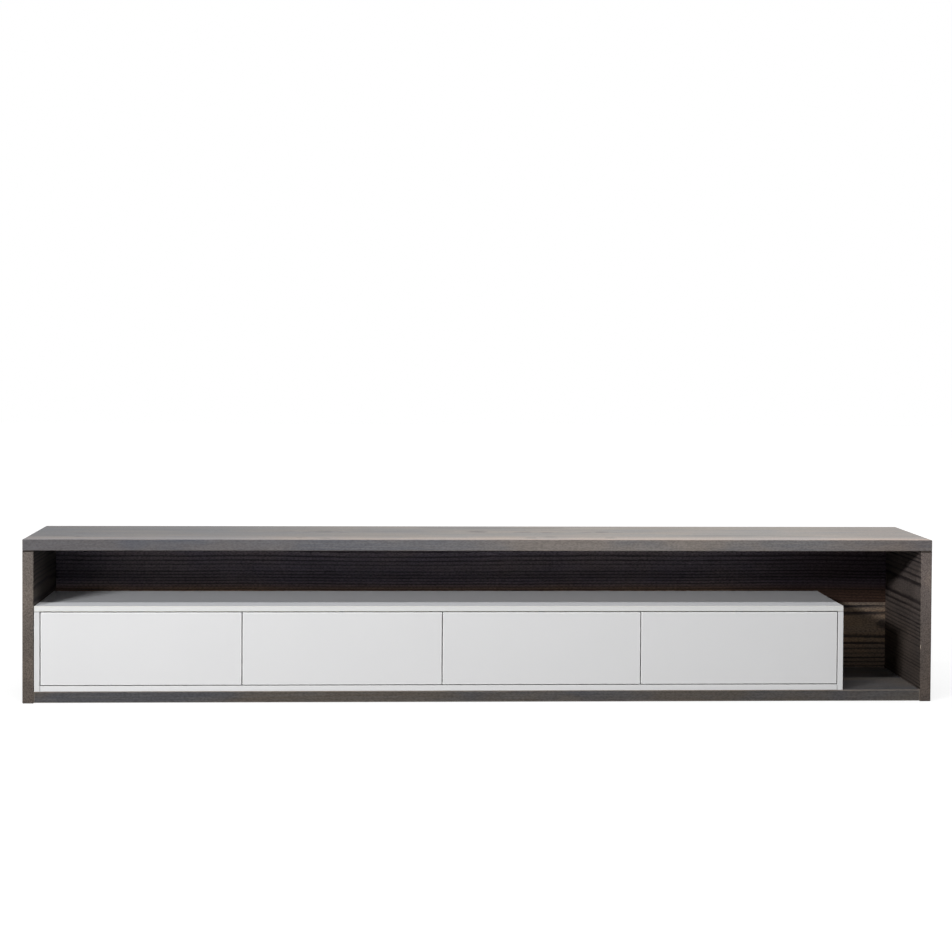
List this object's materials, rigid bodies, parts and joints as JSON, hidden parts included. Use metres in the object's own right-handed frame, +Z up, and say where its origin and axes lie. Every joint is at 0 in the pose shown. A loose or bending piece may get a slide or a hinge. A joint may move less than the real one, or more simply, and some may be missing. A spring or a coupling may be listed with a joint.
{
  "type": "tv stand",
  "caption": "Long low tv stand: stained timber frame open at the front, holding a white lacquered case of push-to-open drawers under a shelf bay, with an open side bay.",
  "frame": {"origin": "on the floor under the middle of the stand", "axes": "+X along the length to the viewer's right, -Y towards the front, +Z up"},
  "size_m": [2.7, 0.45, 0.484],
  "materials": {
    "frame_timber": "satin stained",
    "back_timber": "satin stained, dark",
    "white_lacquer": "satin lacquer",
    "box_plywood": "clear lacquer",
    "runner_steel": "zinc plated",
    "zinc_steel": "zinc plated",
    "tenon_beech": "raw",
    "felt": "felt",
    "grey_plastic": "matt",
    "white_plastic": "matt"
  },
  "bodies": {
    "frame": {"top_slab": "frame_timber", "left_side_panel": "frame_timber", "right_side_panel": "frame_timber", "bottom_slab": "frame_timber", "frame_tenons": "tenon_beech", "felt_pads": "felt", "upper_back_board": "back_timber", "lower_back_board": "back_timber", "case_top": "white_lacquer", "case_left_side": "white_lacquer", "case_right_side": "white_lacquer", "case_bottom": "white_lacquer", "case_divider_1": "white_lacquer", "case_divider_2": "white_lacquer", "case_divider_3": "white_lacquer", "case_back": "white_lacquer", "case_screws": "zinc_steel", "push_catch_housings": "grey_plastic", "drawer_1_cabinet_rails": "runner_steel", "drawer_2_cabinet_rails": "runner_steel", "drawer_3_cabinet_rails": "runner_steel", "drawer_4_cabinet_rails": "runner_steel"},
    "drawer_1": {"drawer_1_front": "white_lacquer", "drawer_1_box_left_side": "box_plywood", "drawer_1_box_right_side": "box_plywood", "drawer_1_box_front": "box_plywood", "drawer_1_box_back": "box_plywood", "drawer_1_box_bottom": "box_plywood", "drawer_1_box_rails": "runner_steel"},
    "drawer_1_middle": {"drawer_1_middle_rails": "runner_steel"},
    "drawer_1_plunger": {"drawer_1_catch_plunger": "white_plastic"},
    "drawer_2": {"drawer_2_front": "white_lacquer", "drawer_2_box_left_side": "box_plywood", "drawer_2_box_right_side": "box_plywood", "drawer_2_box_front": "box_plywood", "drawer_2_box_back": "box_plywood", "drawer_2_box_bottom": "box_plywood", "drawer_2_box_rails": "runner_steel"},
    "drawer_2_middle": {"drawer_2_middle_rails": "runner_steel"},
    "drawer_2_plunger": {"drawer_2_catch_plunger": "white_plastic"},
    "drawer_3": {"drawer_3_front": "white_lacquer", "drawer_3_box_left_side": "box_plywood", "drawer_3_box_right_side": "box_plywood", "drawer_3_box_front": "box_plywood", "drawer_3_box_back": "box_plywood", "drawer_3_box_bottom": "box_plywood", "drawer_3_box_rails": "runner_steel"},
    "drawer_3_middle": {"drawer_3_middle_rails": "runner_steel"},
    "drawer_3_plunger": {"drawer_3_catch_plunger": "white_plastic"},
    "drawer_4": {"drawer_4_front": "white_lacquer", "drawer_4_box_left_side": "box_plywood", "drawer_4_box_right_side": "box_plywood", "drawer_4_box_front": "box_plywood", "drawer_4_box_back": "box_plywood", "drawer_4_box_bottom": "box_plywood", "drawer_4_box_rails": "runner_steel"},
    "drawer_4_middle": {"drawer_4_middle_rails": "runner_steel"},
    "drawer_4_plunger": {"drawer_4_catch_plunger": "white_plastic"}
  },
  "joints": [
    {"name": "drawer_1_slide", "type": "slide", "parent": "frame", "child": "drawer_1", "axis": [0, -1, 0], "range_m": [-0.003, 0.35]},
    {"name": "drawer_1_middle_slide", "type": "slide", "parent": "frame", "child": "drawer_1_middle", "axis": [0, -1, 0], "range_m": [-0.0015, 0.175]},
    {"name": "drawer_1_catch_travel", "type": "slide", "parent": "frame", "child": "drawer_1_plunger", "axis": [0, -1, 0], "range_m": [-0.003, 0.003], "stiffness_N_per_m": 150},
    {"name": "drawer_2_slide", "type": "slide", "parent": "frame", "child": "drawer_2", "axis": [0, -1, 0], "range_m": [-0.003, 0.35]},
    {"name": "drawer_2_middle_slide", "type": "slide", "parent": "frame", "child": "drawer_2_middle", "axis": [0, -1, 0], "range_m": [-0.0015, 0.175]},
    {"name": "drawer_2_catch_travel", "type": "slide", "parent": "frame", "child": "drawer_2_plunger", "axis": [0, -1, 0], "range_m": [-0.003, 0.003], "stiffness_N_per_m": 150},
    {"name": "drawer_3_slide", "type": "slide", "parent": "frame", "child": "drawer_3", "axis": [0, -1, 0], "range_m": [-0.003, 0.35]},
    {"name": "drawer_3_middle_slide", "type": "slide", "parent": "frame", "child": "drawer_3_middle", "axis": [0, -1, 0], "range_m": [-0.0015, 0.175]},
    {"name": "drawer_3_catch_travel", "type": "slide", "parent": "frame", "child": "drawer_3_plunger", "axis": [0, -1, 0], "range_m": [-0.003, 0.003], "stiffness_N_per_m": 150},
    {"name": "drawer_4_slide", "type": "slide", "parent": "frame", "child": "drawer_4", "axis": [0, -1, 0], "range_m": [-0.003, 0.35]},
    {"name": "drawer_4_middle_slide", "type": "slide", "parent": "frame", "child": "drawer_4_middle", "axis": [0, -1, 0], "range_m": [-0.0015, 0.175]},
    {"name": "drawer_4_catch_travel", "type": "slide", "parent": "frame", "child": "drawer_4_plunger", "axis": [0, -1, 0], "range_m": [-0.003, 0.003], "stiffness_N_per_m": 150}
  ],
  "couplings": [
    {"joint": "drawer_1_middle_slide", "follows": "drawer_1_slide", "ratio": 0.5},
    {"joint": "drawer_2_middle_slide", "follows": "drawer_2_slide", "ratio": 0.5},
    {"joint": "drawer_3_middle_slide", "follows": "drawer_3_slide", "ratio": 0.5},
    {"joint": "drawer_4_middle_slide", "follows": "drawer_4_slide", "ratio": 0.5}
  ]
}
